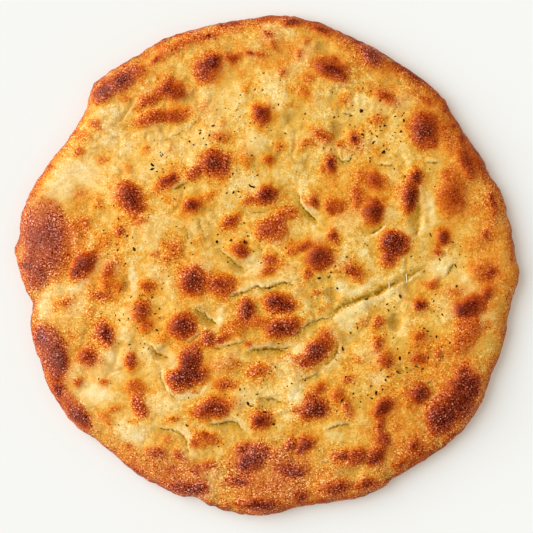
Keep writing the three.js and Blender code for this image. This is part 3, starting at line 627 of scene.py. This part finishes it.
class Finish:
    """A material of nodes, closed by one Principled shader."""

    def __init__(self, name):
        self.material = bpy.data.materials.new(name)
        self.material.use_nodes = True
        self.tree = self.material.node_tree
        self.shader = self.tree.nodes["Principled BSDF"]

    def fill(self, node, values):
        for name, value in values.items():
            known = {socket.identifier: socket for socket in node.inputs}
            socket = known.get(name) or node.inputs[name]
            if isinstance(value, Signal):
                self.tree.links.new(value.socket, socket)
            else:
                socket.default_value = value

    def set_stops(self, elements, stops):
        for index, (position, tone) in enumerate(stops):
            element = elements[index] if index < len(elements) else elements.new(position)
            element.position = position
            element.color = tone

    def node(self, kind, output, settings, values):
        """Adds a node, sets it up, fills its sockets and gives one of its outputs."""
        node = self.tree.nodes.new(kind)
        for name, setting in settings.items():
            if name == "stops":
                self.set_stops(node.color_ramp.elements, setting)
            else:
                setattr(node, name, setting)
        self.fill(node, values)
        known = {socket.identifier: socket for socket in node.outputs}
        return Signal(self, known.get(output) or node.outputs[output])

    def place(self):
        return self.node("ShaderNodeTexCoord", "Object", {}, {})

    def attribute(self, name):
        return self.node("ShaderNodeAttribute", "Fac", {"attribute_name": name}, {})

    def ease(self, low, high, value):
        values = {"Value": value, "From Min": low, "From Max": high}
        return self.node("ShaderNodeMapRange", "Result", {"interpolation_type": "SMOOTHSTEP"}, values)

    def grain(self, place, scale, detail):
        values = {"Vector": place, "Scale": scale, "Detail": detail, "Roughness": 0.6}
        return self.node("ShaderNodeTexNoise", "Fac", {}, values)

    def cells(self, place, scale):
        return self.node("ShaderNodeTexVoronoi", "Distance", {}, {"Vector": place, "Scale": scale})

    def ramp(self, stops, share):
        return self.node("ShaderNodeValToRGB", "Color", {"stops": stops}, {"Fac": share})

    def mix(self, share, first, second):
        values = {"Factor_Float": share, "A_Color": first, "B_Color": second}
        return self.node("ShaderNodeMix", "Result_Color", {"data_type": "RGBA"}, values)

    def vector(self, operation, first, second):
        values = {"Vector": first, "Vector_001": second}
        return self.node("ShaderNodeVectorMath", "Vector", {"operation": operation}, values)

    def gritty(self, tone, lift):
        """A colour made lighter or darker by about the same step in each channel, as the eye sees steps."""
        seen = self.node("ShaderNodeGamma", "Color", {}, {"Color": tone, "Gamma": 1 / EYE_GAMMA})
        steps = self.vector("MULTIPLY", lift, GRIT_STEPS)
        kept = self.vector("MAXIMUM", self.vector("ADD", seen, steps), (0, 0, 0))
        return self.node("ShaderNodeGamma", "Color", {}, {"Color": kept, "Gamma": EYE_GAMMA})

    def bump(self, strength, distance, height):
        values = {"Strength": strength, "Distance": distance, "Height": height}
        return self.node("ShaderNodeBump", "Normal", {}, values)


def linear(value):
    """A display value from 0 to 255 as the linear one that shaders take."""
    share = value / 255
    return share / 12.92 if share <= 0.04045 else ((share + 0.055) / 1.055) ** 2.4


def colour(red, green, blue):
    return [linear(red), linear(green), linear(blue), 1]


CRUST_TONES = [
    (0, colour(255, 231, 166)), (0.12, colour(252, 213, 126)), (0.25, colour(246, 192, 87)),
    (0.38, colour(239, 162, 52)), (0.5, colour(230, 135, 31)), (0.62, colour(213, 107, 17)),
    (0.75, colour(188, 78, 8)), (0.88, colour(154, 52, 2)), (1, colour(110, 29, 0)),
]
# Khaki and olive: oil in the low places, and painted shade there.
KHAKI_OIL_AND_SHADE = colour(219, 163, 60)
OLIVE_OIL_AND_SHADE = colour(194, 146, 28)
# A painted shadow line at the bottom of the torn creases.
CRACK_SHADE = colour(134, 90, 10)
# Cream: bare dough, and painted highlights on ridges, lips and puffs.
CREAM_AND_HIGHLIGHT = colour(253, 230, 167)
# A painted highlight: the tone of small glints of light on the crust.
PAINTED_GLINT_TONE = colour(252, 180, 112)
# Dull ashen crust, which on the left scorch also stands for painted sheen.
ASH_AND_SHEEN_TONE = colour(168, 92, 68)
LIT_SIDE_CAST = (1.035, 1, 1.03)  # painted light: the crust is a little rosier on the left, towards the key light
SHADED_SIDE_STEP = (-0.065, -0.005, 0)  # painted shade: this much less red on the right, away from the key light
BASE_TONES = [(0.25, colour(228, 194, 138)), (0.5, colour(196, 138, 76)), (0.75, colour(128, 74, 36))]
# Flour on the base, and near the rim flour that is also painted sheen.
FLOUR_AND_SHEEN = colour(240, 228, 204)

# Grains of the crust, from the finest to the widest: noise waves to a metre, and their detail.
FLECK_GRAIN = (1200, 0)
GLINT_GRAIN = (980, 1)
FINE_GRAIN = (700, 2)
PATCH_GRAIN = (330, 1)
SOFT_GRAIN = (170, 3)
BASE_GRAIN = (60, 5)
ROUGH_GRAIN = (45, 2)
BUBBLES = 560  # cells to a metre
GRAIN_MIDDLE = 0.5

# How strongly each thing is laid on.
PATCH_GRIT = 0.08
TORN_WAVER = 1.1
CRUMB_GRIT = 1.2
ASH_AND_SHEEN_SHARE = 0.4
CREAM_SHARE = 0.8
KHAKI_SHARE = 0.75
OLIVE_SHARE = 0.8
LIP_HIGHLIGHT_SHARE = 0.55
FLOURY_SHARE = 0.7
FINE_RELIEF = 0.7
BUMP_STRENGTH = 0.4
BUMP_HEIGHT = 0.0007
CRUST_COAT = 0.12

skin = Finish("baked_crust")
crust_place = skin.place()
browned = skin.attribute("browning")
ashen_and_sheen = skin.attribute("ash_and_sheen")
coarse = skin.attribute("grainy")
torn = skin.attribute("tear")
fine_grain = skin.grain(crust_place, *FINE_GRAIN)
fleck_grain = skin.grain(crust_place, *FLECK_GRAIN)
patch_grain = skin.grain(crust_place, *PATCH_GRAIN)
fine_waver = fine_grain - GRAIN_MIDDLE
patch_waver = patch_grain - GRAIN_MIDDLE
soft_waver = skin.grain(crust_place, *SOFT_GRAIN) - GRAIN_MIDDLE
hazed = skin.ease(0.22, 0.48, browned)
toasted = skin.ease(0.32, 0.62, browned)
crusted = skin.ease(0.45, 0.75, browned)

# The toasted dough and crust, mottled and speckled, with painted glints of light on the crust.
flecks = skin.ease(0.4, 0.24, fleck_grain) - skin.ease(0.6, 0.76, fleck_grain)
fleck_weight = weigh((0.15, 0.13, 0.06), coarse * skin.ease(0.26, 0.42, browned), ashen_and_sheen)
fine_weight = weigh((0.19, 0.12, 0.22), coarse * toasted, ashen_and_sheen)
rough_places = skin.ease(0.36, 0.62, skin.grain(crust_place, *ROUGH_GRAIN))
rough = weigh((0.62, 0.72), rough_places)
speckle = (fine_waver * fine_weight + flecks * fleck_weight) * rough
mottle = patch_waver * weigh((0.38, -0.24), toasted) * rough + soft_waver * weigh((0.28, -0.12), toasted)
crust_tone = browned + mottle + speckle * weigh((0.75, -0.57), hazed)
# Ashen scorches, partly painted sheen on the left scorch.
scorched = skin.mix(ashen_and_sheen * ASH_AND_SHEEN_SHARE, skin.ramp(CRUST_TONES, crust_tone), ASH_AND_SHEEN_TONE)
# Painted highlights: small glints of light, mixed into the colour mostly on the crust.
glint_grain = skin.grain(crust_place, *GLINT_GRAIN)
painted_glints = skin.ease(0.63, 0.74, glint_grain) * skin.ease(0.3, 0.6, patch_grain)
painted_glinting = skin.mix(painted_glints * coarse * weigh((0.15, 0.85), crusted), scorched, PAINTED_GLINT_TONE)

# Bare dough and painted highlights, oil and painted shade in the low places, and the torn creases with a
# painted shadow line and a painted highlight on the lip.
# Cream for bare dough and for painted highlights.
creamed_and_lit = skin.mix(skin.attribute("pale_and_highlight") * CREAM_SHARE, painted_glinting, CREAM_AND_HIGHLIGHT)
soaking_and_shade = skin.attribute("oil_and_shade") + soft_waver * weigh((0.3, -0.3), toasted)
# Oil and painted shade in the low places, laid on as khaki and olive.
khaki = skin.mix(skin.ease(0, 0.5, soaking_and_shade) * KHAKI_SHARE, creamed_and_lit, KHAKI_OIL_AND_SHADE)
olive = skin.mix(skin.ease(0.45, 1, soaking_and_shade) * OLIVE_SHARE, khaki, OLIVE_OIL_AND_SHADE)
torn_side = skin.attribute("tear_side") + patch_waver * TORN_WAVER
broken = skin.ease(0.36, 0.54, patch_grain)
# Painted shadow along the bottom of the creases, and a painted highlight on their lips.
painted_crack_shade = skin.ease(0.85, 0.15, abs(torn_side)) * torn
torn_valley = skin.ease(2.4, 0.8, abs(torn_side)) * torn
painted_lip_highlight = skin.ease(0.8, 1.3, torn_side) * skin.ease(3.2, 1.7, torn_side) * torn
lip_highlighted = skin.mix(painted_lip_highlight * broken * LIP_HIGHLIGHT_SHARE, olive, CREAM_AND_HIGHLIGHT)
crack_shaded = skin.mix(painted_crack_shade * weigh((0.3, 0.7), broken), lip_highlighted, CRACK_SHADE)

# A breath of flour that is also painted sheen, painted light and shade as a rosier cast on the left and a
# less red one on the right, and the floured base.
# Flour near the rim, also painted sheen, thinner on the crust.
dust_and_sheen = skin.attribute("rim_dust_and_sheen") * weigh((0.01, 0.03), fine_grain)
dusted_and_sheened = skin.mix(dust_and_sheen * weigh((1, -0.85), crusted), crack_shaded, FLOUR_AND_SHEEN)
# Painted light and shade: rosier on the left, towards the key light, and less red on the right.
shaded_side_cast = skin.vector("MULTIPLY", skin.attribute("shaded_side"), SHADED_SIDE_STEP)
tinted = skin.vector("MULTIPLY", dusted_and_sheened, skin.vector("ADD", shaded_side_cast, LIT_SIDE_CAST))
# Grit: fine steps lighter and darker, partly standing for painted glints of white light.
grit = speckle * weigh((-0.24, -0.2, -0.46), hazed, toasted) - patch_waver * PATCH_GRIT
crumbs = fine_waver * torn_valley * CRUMB_GRIT
base_colour = skin.ramp(BASE_TONES, skin.grain(crust_place, *BASE_GRAIN))
floury = skin.mix(skin.ease(0.52, 0.66, fine_grain) * FLOURY_SHARE, base_colour, FLOUR_AND_SHEEN)
upper_colour = skin.gritty(tinted, grit + crumbs)
bubbles = 1 - skin.cells(crust_place, BUBBLES)
relief = bubbles * weigh((0.3, 0.7), toasted) + fine_grain * FINE_RELIEF
skin.fill(skin.shader, {
    "Base Color": skin.mix(skin.attribute("under"), upper_colour, floury),
    "Roughness": weigh((0.38, 0.3), fine_waver),
    "Normal": skin.bump(BUMP_STRENGTH, BUMP_HEIGHT, relief),
    "Specular IOR Level": 0.04,
    "Coat Weight": crusted * CRUST_COAT,
    "Coat Roughness": 0.25,
})
crust.data.materials.append(skin.material)
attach(crust, "root")
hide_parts("focaccia")

# Dried herbs, rubbed between the fingers and strewn over the oiled dough before baking: thin, curled chips
# of leaf and stem, baked on where they fell, dark brown to olive. The larger ones lie where the solid has
# them.

# Large flakes that lie alone: x and y of each.
FLAKES = [
    (-5.7, 54.7), (-79.7, 10.3), (-28, 76.5), (-62.5, 67), (-13.5, 14.5), (98.5, 19), (60, -19.5),
    (72.3, -23), (54.5, -37), (37.3, -6.5), (31.5, -7), (80, -18), (102, -42.5), (110, -46), (-69, -18.7),
    (-2, -68.5), (-48, -95.7), (-89, -95.5), (45, -80.5), (114, -12),
]
# Pinches of flakes and of dust: middle, how far they scatter, how many.
PINCHES = [
    (85, -61, 10, 5), (66, -71, 9, 4), (-65, 62, 9, 4), (-18, 48, 10, 4), (-20, 16, 10, 4), (60, 80, 14, 5),
    (66, 68, 8, 3), (50, 92, 8, 3), (79, 86, 7, 2), (-88, 18, 12, 3), (-74, -38, 14, 4), (-30, 78, 14, 3),
    (44, -53, 5, 2), (102, -30, 12, 2), (112, 6, 10, 2), (-16, -78, 14, 3), (4, -92, 8, 2),
    (40, -12, 12, 2),
]
DUST = [
    (-10, 100, 24, 10), (60, 90, 22, 12), (-50, 62, 24, 10), (-15, 45, 20, 10), (-80, 20, 20, 8),
    (90, 8, 24, 8), (45, -20, 24, 10), (70, -55, 24, 16), (100, -35, 16, 8), (-78, -38, 18, 10),
    (-20, -75, 26, 12), (0, -100, 24, 8),
]
# Small chips that stand out: x and y of each.
CHIPS = [
    (-4, 115), (-2, 116), (-2.5, 106), (-7, 106.5), (-1.5, 103), (-27, 103), (-16, 103), (-18, 94),
    (-30, 94), (-25, 95), (-27, 89.5), (4, 95), (7, 97), (-10, 86), (-7.5, 86.5), (0, 83.5), (2.5, 81.5),
    (-40, 81.5), (-51, 77), (-46.5, 75), (-44, 73), (-38, 77), (-34.5, 78.5), (-32, 77), (-23, 76.5),
    (-26.5, 74.5), (-7, 77), (-9.5, 75), (52, 125.5), (39.5, 104.5), (58, 110.5), (57.5, 107), (68, 108.5),
    (68, 99.5), (51.5, 96.5), (49, 94.5), (52.5, 93.5), (47, 92), (40.5, 89.5), (43, 90), (61, 88.5),
    (63, 86), (50, 85), (53, 84), (68, 84), (68.5, 81.5), (58, 81.5), (62, 81.5), (46.5, 81), (58, 77.5),
    (61, 76), (65, 75), (43, 72.5), (58, 72.5), (70, 72.5), (67, 70), (72, 70.5), (73.5, 70), (23, 91.5),
    (22, 88.5), (11, 80), (8.5, 77), (3.5, 74), (8.5, 72), (15, 69.5), (81.5, 90.5), (82.5, 92), (77, 90),
    (79, 84.5), (77, 80.5), (75.5, 78.5), (80.5, 75), (74, 73.5), (-93.5, 36.5), (-92, 36.5), (-98, 21.5),
    (-96.5, 19.5), (-90, 13), (-80.5, 17), (-73, 15), (-95.5, 7.5), (-85, 1.5), (-75, 32.5), (-71, 29.5),
    (-60, 65.5), (-64, 68.5), (-67.5, 64), (-62.5, 58.5), (-66, 57), (-57, 61.5), (-49, 58.5), (-62, 53),
    (-64.5, 52.5), (-46.5, 52.5), (-12, 67.5), (-9, 66.5), (-8.5, 56.5), (-22, 53.5), (-20.5, 55.5),
    (-21.5, 49.5), (-19, 47.5), (-24, 44), (-16, 41.5), (-10.5, 44), (-24.5, 36.5), (-34, 33.5),
    (-44.5, 28), (-54.5, 24), (-69.5, 34), (-13.5, 26), (-27, 21.5), (-29.5, 19), (-12, 20.5), (-10.5, 18),
    (-16, 14.5), (-4, 15), (-8, 9), (-3, 10), (-26, 11.5), (-45.5, 14), (-47.5, 17), (-44.5, 7),
    (-23.5, 2.5), (-5, 3), (-3.5, 2), (-63, 40.5), (-55.5, 40.5), (-49.5, 47), (18, 57), (38.5, 70),
    (34, 71), (41.5, 63), (54.5, 71), (62, 65), (62, 63), (69, 61), (76.5, 58.5), (68, 48), (45, 16.5),
    (59, 13.5), (60.5, 12.5), (11.5, 36), (11.5, 11), (10, 6), (48, 5.5), (41, 0), (38.5, -3.5), (44, -3.5),
    (112, 14.5), (116.5, 12), (88, 14.5), (87, 6), (92, 5.5), (101, 48), (91, 39), (98, 58.5), (83, 54),
    (118.5, -.5), (94.5, -3), (86.5, -2.5), (116, 7), (119.5, 6), (-81.5, -18.5), (-76.5, -17.5),
    (-91, -29.5), (-86, -29), (-88.5, -32.5), (-83, -31.5), (-76, -46.5), (-73.5, -46.5), (-74, -49),
    (-82, -49.5), (-79.5, -55), (-75, -52), (-98, -69.5), (-101, -68), (-94, -70.5), (-99.5, -28.5),
    (-12, -2.5), (-59, -6), (-63, -13.5), (-62, -10), (-64.5, -25.5), (-67, -28.5), (-64.5, -31),
    (-6.5, -24.5), (-55, -26), (-72.5, -40.5), (-23, -47.5), (-4.5, -57.5), (1.5, -64.5), (-4, -62),
    (-33, -73.5), (-23.5, -72), (-13.5, -73.5), (-16, -74), (-28.5, -50), (7, -46.5), (1.5, -13),
    (38.5, -3.5), (38.5, -13), (33.5, -13), (29, -24), (22, -27.5), (48.5, -24), (53, -21), (66, -17.5),
    (65, -24), (73, -26.5), (53.5, -28), (54, -34.5), (50.5, -40), (70, -41), (76, -43), (75.5, -46),
    (43, -52.5), (40.5, -53), (42, -51.5), (17, -54), (12.5, -57), (5, -60.5), (21, -66), (23, -68.5),
    (46, -61), (54, -58), (59, -57.5), (62.5, -57.5), (66.5, -57), (72.5, -52.5), (73, -60.5),
    (68.5, -62.5), (64, -67), (47.5, -66.5), (62.5, -72), (73, -72.5), (60.5, -77.5), (52, -76.5),
    (52, -79), (63, -79.5), (79, -64), (12.5, -72), (15, -70.5), (69.5, -74), (105, -11.5), (117.5, -14),
    (101.5, -17), (77, -16.5), (100.5, -27), (105.5, -29), (93, -35.5), (96.5, -39), (98.5, -42),
    (110.5, -49), (106, -54), (104, -56.5), (97, -55), (90, -59), (84, -61), (80, -64.5), (84.5, -64),
    (93, -63), (88.5, -61.5), (78.5, -49.5), (76.5, -24.5), (97, -70), (134, -37), (-63.5, -97.5),
    (-26, -107), (-29, -108.5), (-32, -111.5), (-20, -109), (-36, -125), (-16, -83), (-6.5, -85.5),
    (-17.5, -89.5), (5, -93), (-22.5, -79), (-25, -77), (-47, -79), (-22.5, -119), (56, -85), (56.5, -81.5),
    (42, -87), (8.5, -87.5), (6, -97), (31.5, -111), (17, -117.5), (15, -83), (-83, -93.5),
]
FLAKE_SIZES = (0.8, 1.5)  # half length of a large flake, least and most
CHIP_SIZES = (0.4, 0.9)
DUST_SIZES = (0.3, 0.6)
FLAKE_CORNERS = 6
FLAKE_RAGGEDNESS = (0.65, 0.6)
FLAKE_CURL = 0.3
FLAKE_DIP = 0.3
FLAKE_SLIMNESS = 0.5
FLAKE_BREADTHS = (0.6, 0.8)
FLAKE_THICKNESS = 0.35
FLAKE_LIFT = 0.12
PLACE_SEED = 20
SHAPE_SEED = 7
LOOK_FROM = 100  # height above the bread from which the crust is looked for
UPWARD = Vector((0, 0, 1))


def draws(state):
    """The minimal standard generator, which strews the flakes where the solid has them."""
    modulus = 2147483647
    while True:
        state = state * 16807 % modulus
        yield state / modulus


def singles(places):
    """Pinches of one flake each, which doesn't scatter."""
    return [(*place, 0, 1) for place in places]


def strew(pinches, sizes, chance):
    """Place, half length and turn of each flake of some pinches."""
    for middle_x, middle_y, spread, number in pinches:
        for _ in range(number):
            way = next(chance) * FULL_TURN
            away = spread * math.sqrt(next(chance))
            length = sizes[0] + (sizes[1] - sizes[0]) * next(chance)
            turn = next(chance) * math.pi
            yield middle_x + away * math.cos(way), middle_y + away * math.sin(way), length, turn


def on_crust(place_x, place_y):
    """The point of the crust that is seen at a place from above, and the way that the crust faces there."""
    above = Vector((place_x / SEEN_SPREAD, place_y / SEEN_SPREAD, LOOK_FROM)) * MILLIMETRE
    point, facing, _, _ = crust_tree.ray_cast(above, -UPWARD)
    return point, facing


def add_flake(mesh, shape, place_x, place_y, length, turn):
    """One curled chip on the crust; gives the vertices that it has."""
    point, facing = on_crust(place_x, place_y)
    flake = bmesh.ops.create_circle(mesh, cap_ends=True, segments=FLAKE_CORNERS, radius=1)["verts"]
    for vert in flake:
        vert.co *= weigh(FLAKE_RAGGEDNESS, next(shape))
        vert.co.z = FLAKE_CURL * (next(shape) - FLAKE_DIP)
    slim = length * FLAKE_SLIMNESS * weigh(FLAKE_BREADTHS, next(shape))
    bmesh.ops.scale(mesh, vec=Vector((length, slim, length)) * MILLIMETRE, verts=flake)
    faces = list({face for vert in flake for face in vert.link_faces})
    thickness = FLAKE_THICKNESS * min(1, length) * MILLIMETRE
    shell = bmesh.ops.solidify(mesh, geom=faces, thickness=thickness)["geom"]
    verts = list({vert for face in faces for vert in face.verts}
                 | {item for item in shell if isinstance(item, bmesh.types.BMVert)})
    bmesh.ops.rotate(mesh, matrix=Matrix.Rotation(turn, 3, "Z"), verts=verts)
    bmesh.ops.rotate(mesh, matrix=UPWARD.rotation_difference(facing).to_matrix(), verts=verts)
    bmesh.ops.translate(mesh, vec=point + facing * FLAKE_LIFT * MILLIMETRE, verts=verts)
    return verts


crust_tree = BVHTree.FromObject(crust, bpy.context.evaluated_depsgraph_get())
herb_mesh = bmesh.new()
shade_layer = herb_mesh.verts.layers.float.new("shade")
herb_shape = draws(SHAPE_SEED)
herb_chance = draws(PLACE_SEED)
strewn = [
    *strew(singles(FLAKES) + PINCHES, FLAKE_SIZES, herb_chance),
    *strew(singles(CHIPS), CHIP_SIZES, herb_chance),
    *strew(DUST, DUST_SIZES, herb_chance),
]
for flake_x, flake_y, half_length, flake_turn in strewn:
    chip = add_flake(herb_mesh, herb_shape, flake_x, flake_y, half_length, flake_turn)
    shade = next(herb_shape)
    for vert in chip:
        vert[shade_layer] = shade
bmesh.ops.recalc_face_normals(herb_mesh, faces=herb_mesh.faces)
herbs = add_object("herb_flakes", herb_mesh)

HERB_TONES = [
    (0, colour(34, 8, 2)), (0.4, colour(56, 20, 4)), (0.65, colour(78, 42, 8)), (0.85, colour(104, 76, 22)),
    (1, colour(88, 38, 12)),
]
VEIN_GRAIN = (2600, 2)
VEIN_TONES = 0.4
VEIN_STRENGTH = 0.5
VEIN_HEIGHT = 0.0002

herb_finish = Finish("dried_herb")
veins = herb_finish.grain(herb_finish.place(), *VEIN_GRAIN)
herb_tone = herb_finish.attribute("shade") + (veins - GRAIN_MIDDLE) * VEIN_TONES
herb_finish.fill(herb_finish.shader, {
    "Base Color": herb_finish.ramp(HERB_TONES, herb_tone),
    "Roughness": weigh((0.55, 0.3), veins),
    "Normal": herb_finish.bump(VEIN_STRENGTH, VEIN_HEIGHT, veins),
    "Specular IOR Level": 0.03,
})
herbs.data.materials.append(herb_finish.material)
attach(herbs, "root")

# Threads of dough: two thin strands that stayed stuck across the long tear while it opened, soft crumb
# without crust. Each spans the valley like a bridge, with both ends stuck to the dough.

THREADS = [((73.5, -9.5), (73.6, -16.5)), ((84, -4.5), (84.3, -10))]  # both ends of each
THREAD_RADIUS = 0.24
THREAD_SIDES = 8
THREAD_LIFT = 0.15
CRUMB_TONES = [(0.3, colour(248, 230, 192)), (0.7, colour(255, 250, 232))]
CRUMB_GRAIN = (900, 2)

thread_mesh = bmesh.new()
for thread in THREADS:
    first, last = (on_crust(*end)[0] + UPWARD * THREAD_LIFT * MILLIMETRE for end in thread)
    span = last - first
    strand = bmesh.ops.create_cone(
        thread_mesh, cap_ends=True, segments=THREAD_SIDES, depth=span.length,
        radius1=THREAD_RADIUS * MILLIMETRE, radius2=THREAD_RADIUS * MILLIMETRE,
    )["verts"]
    bmesh.ops.rotate(thread_mesh, matrix=UPWARD.rotation_difference(span).to_matrix(), verts=strand)
    bmesh.ops.translate(thread_mesh, vec=(first + last) / 2, verts=strand)
threads = add_object("dough_threads", thread_mesh)

thread_finish = Finish("pale_crumb")
crumb = thread_finish.grain(thread_finish.place(), *CRUMB_GRAIN)
thread_finish.fill(thread_finish.shader, {
    "Base Color": thread_finish.ramp(CRUMB_TONES, crumb),
    "Roughness": weigh((0.5, 0.2), crumb),
    "Specular IOR Level": 0.1,
})
threads.data.materials.append(thread_finish.material)
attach(threads, "root")

# The stage: a plain pale floor, a soft key light from the upper left as in the photograph, even light from
# all round, and a camera straight above. Its sizes are in metres.

FLOOR_SIZE = 3
FLOOR_STEPS = 8
FLOOR_DROP = 0.0003
FLOOR_TONE = colour(220, 229, 234)
FLOOR_GLOW = 0.235  # a table lit from below, which keeps the shadow pale
GLOW_TONE = colour(255, 222, 172)
KEY_BEARING = math.radians(163)
KEY_ELEVATION = math.radians(37.5)
KEY_SOFTNESS = math.radians(68)
KEY_POWER = 2.99
AMBIENT_POWER = 0.4
PHOTO_WIDTH = 533
MILLIMETRES_PER_PIXEL = 0.5975
CAMERA_HEIGHT = 1.3
SENSOR_WIDTH = 36  # this one in millimetres, as cameras give it
CAMERA_OFFSET = -0.00015  # the photograph's middle lies this far off the bread's, along x and along y

floor_mesh = bmesh.new()
bmesh.ops.create_grid(floor_mesh, x_segments=FLOOR_STEPS, y_segments=FLOOR_STEPS, size=FLOOR_SIZE)
bmesh.ops.translate(floor_mesh, vec=(0, 0, -FLOOR_DROP), verts=floor_mesh.verts)
floor = add_object("floor", floor_mesh)
floor_finish = Finish("pale_floor")
floor_finish.fill(floor_finish.shader, {
    "Base Color": FLOOR_TONE, "Roughness": 0.9, "Specular IOR Level": 0,
    "Emission Color": GLOW_TONE, "Emission Strength": FLOOR_GLOW,
})
floor.data.materials.append(floor_finish.material)

key_data = bpy.data.lights.new("key", "SUN")
key_data.energy = KEY_POWER
key_data.angle = KEY_SOFTNESS
key = bpy.data.objects.new("key", key_data)
from_key = Vector((
    math.cos(KEY_ELEVATION) * math.cos(KEY_BEARING),
    math.cos(KEY_ELEVATION) * math.sin(KEY_BEARING),
    math.sin(KEY_ELEVATION),
))
key.rotation_euler = from_key.to_track_quat("Z", "Y").to_euler()
bpy.context.collection.objects.link(key)

world = bpy.data.worlds.new("studio")
bpy.context.scene.world = world
world.use_nodes = True
background = world.node_tree.nodes["Background"]
background.inputs["Color"].default_value = (1, 1, 1, 1)
background.inputs["Strength"].default_value = AMBIENT_POWER
world.cycles_visibility.glossy = False  # only the key light gives gloss, as in the photograph
bpy.context.scene.view_settings.view_transform = "Standard"

camera_data = bpy.data.cameras.new("camera")
camera_data.sensor_width = SENSOR_WIDTH
camera_drop = CAMERA_HEIGHT - WIDEST_HEIGHT * MILLIMETRE
camera_data.lens = SENSOR_WIDTH * camera_drop / (PHOTO_WIDTH * MILLIMETRES_PER_PIXEL * MILLIMETRE)
camera = bpy.data.objects.new("camera", camera_data)
camera.location = (CAMERA_OFFSET, CAMERA_OFFSET, CAMERA_HEIGHT)
bpy.context.collection.objects.link(camera)
bpy.context.scene.camera = camera
